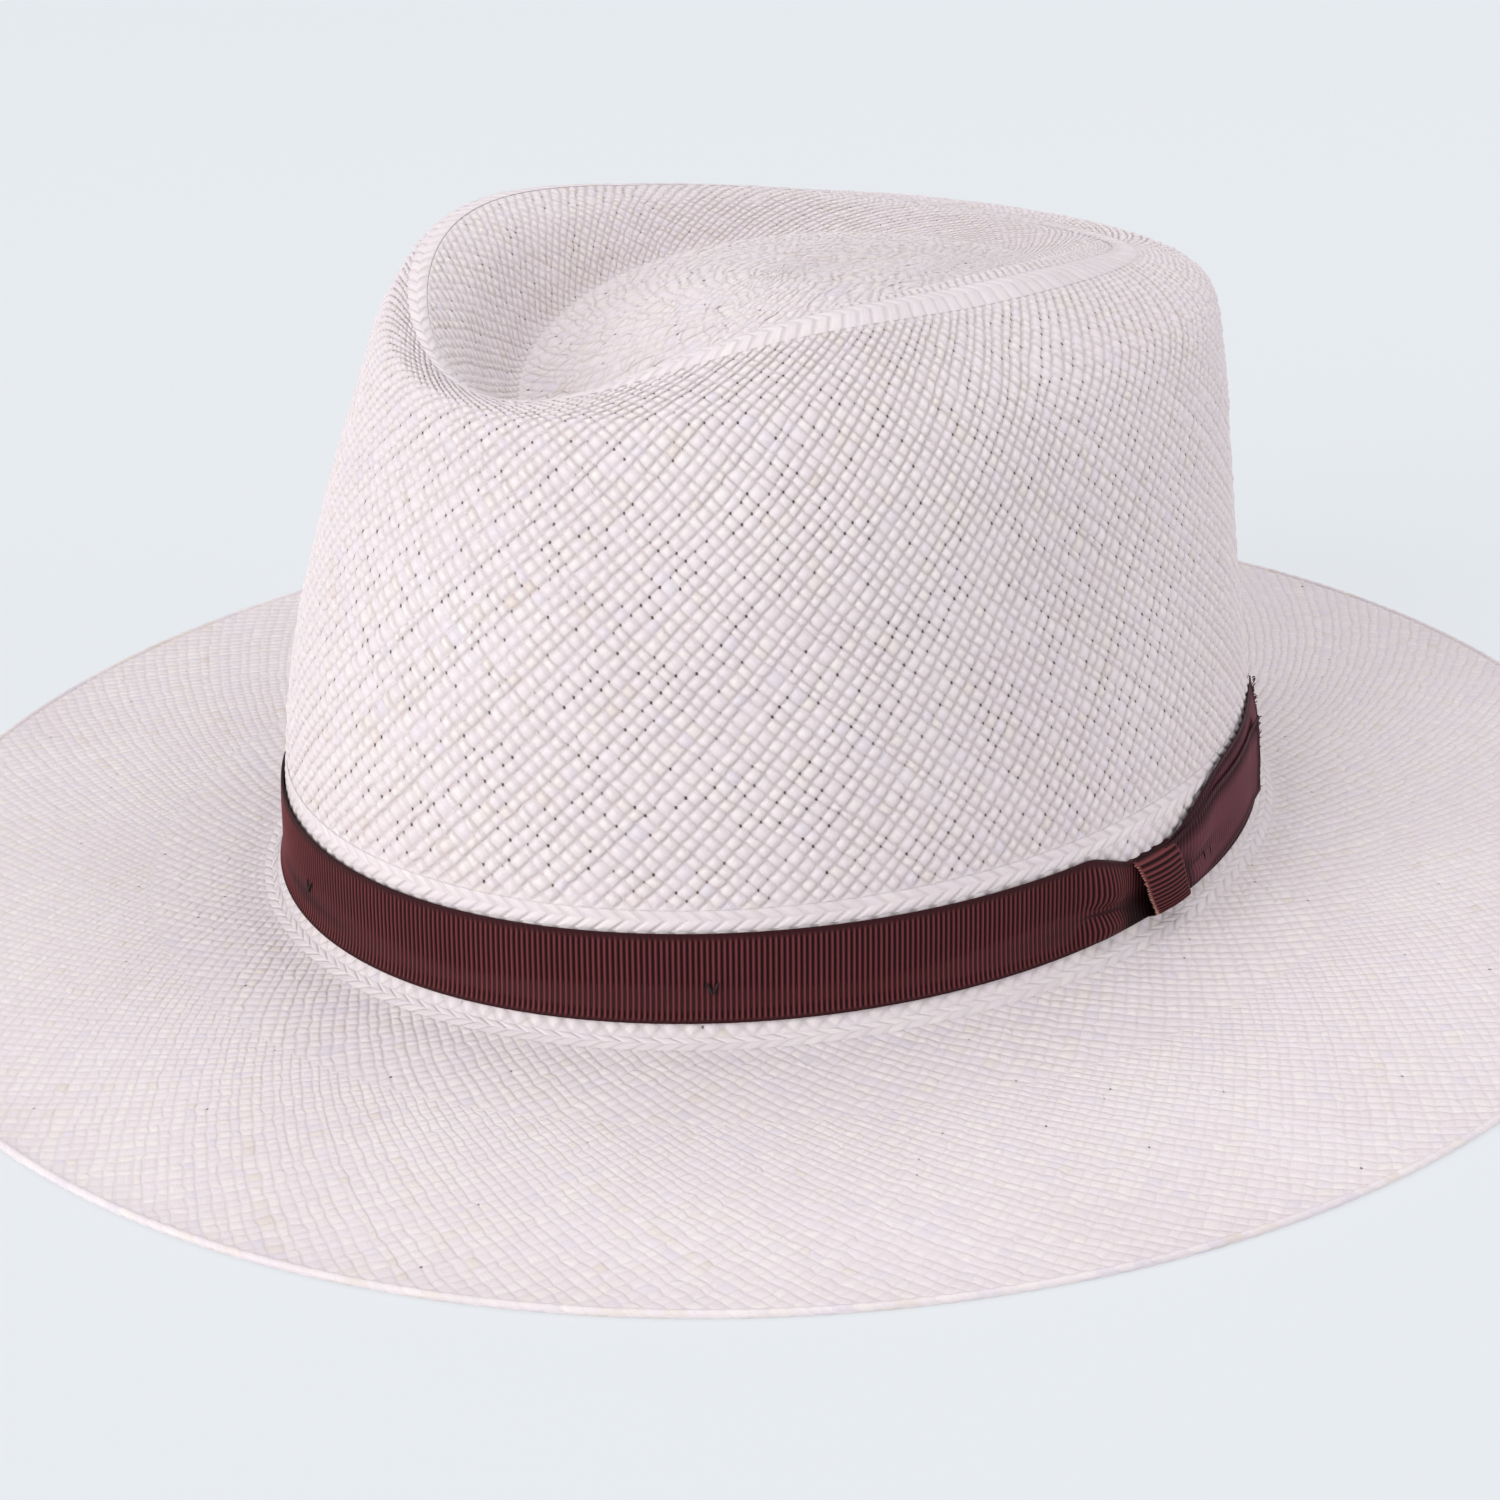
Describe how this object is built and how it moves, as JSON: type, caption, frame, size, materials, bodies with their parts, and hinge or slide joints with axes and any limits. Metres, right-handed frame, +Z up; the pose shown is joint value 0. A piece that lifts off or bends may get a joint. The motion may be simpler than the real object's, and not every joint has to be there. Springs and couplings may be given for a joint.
{
  "type": "panama hat",
  "caption": "Woven straw hat with a level round brim, a teardrop crown, a dark grosgrain band with a flat side bow, and a leather sweatband.",
  "frame": {"origin": "middle of the brim outline, at the level of the surface the brim edge stands on", "axes": "+Z up through the crown, -Y to the hat's front, +X to the wearer's left, where the bow is"},
  "size_m": [0.334, 0.356, 0.1257],
  "materials": {
    "straw": "matte bleached toquilla straw in a fine diagonal weave",
    "ribbon": "matte dark maroon grosgrain with fine cross ribs",
    "dark_thread": "matte maroon sewing thread",
    "sweatband_leather": "satin tan leather with fine grain",
    "reed": "satin",
    "tape": "matte cotton tape",
    "light_thread": "matte cream sewing thread"
  },
  "bodies": {
    "root": {"straw_body": "straw", "hatband": "ribbon", "bow_tail_back": "ribbon", "bow_tail_front": "ribbon", "bow_knot": "ribbon", "hatband_tack_1": "dark_thread", "hatband_tack_2": "dark_thread", "hatband_tack_3": "dark_thread", "hatband_tack_4": "dark_thread", "hatband_tack_5": "dark_thread", "hatband_tack_6": "dark_thread", "bow_tack_1": "dark_thread", "bow_tack_2": "dark_thread", "sweatband": "sweatband_leather", "sweatband_joint": "sweatband_leather", "sweatband_reed": "reed", "reed_tape": "tape", "sweatband_thread": "light_thread"}
  },
  "joints": []
}
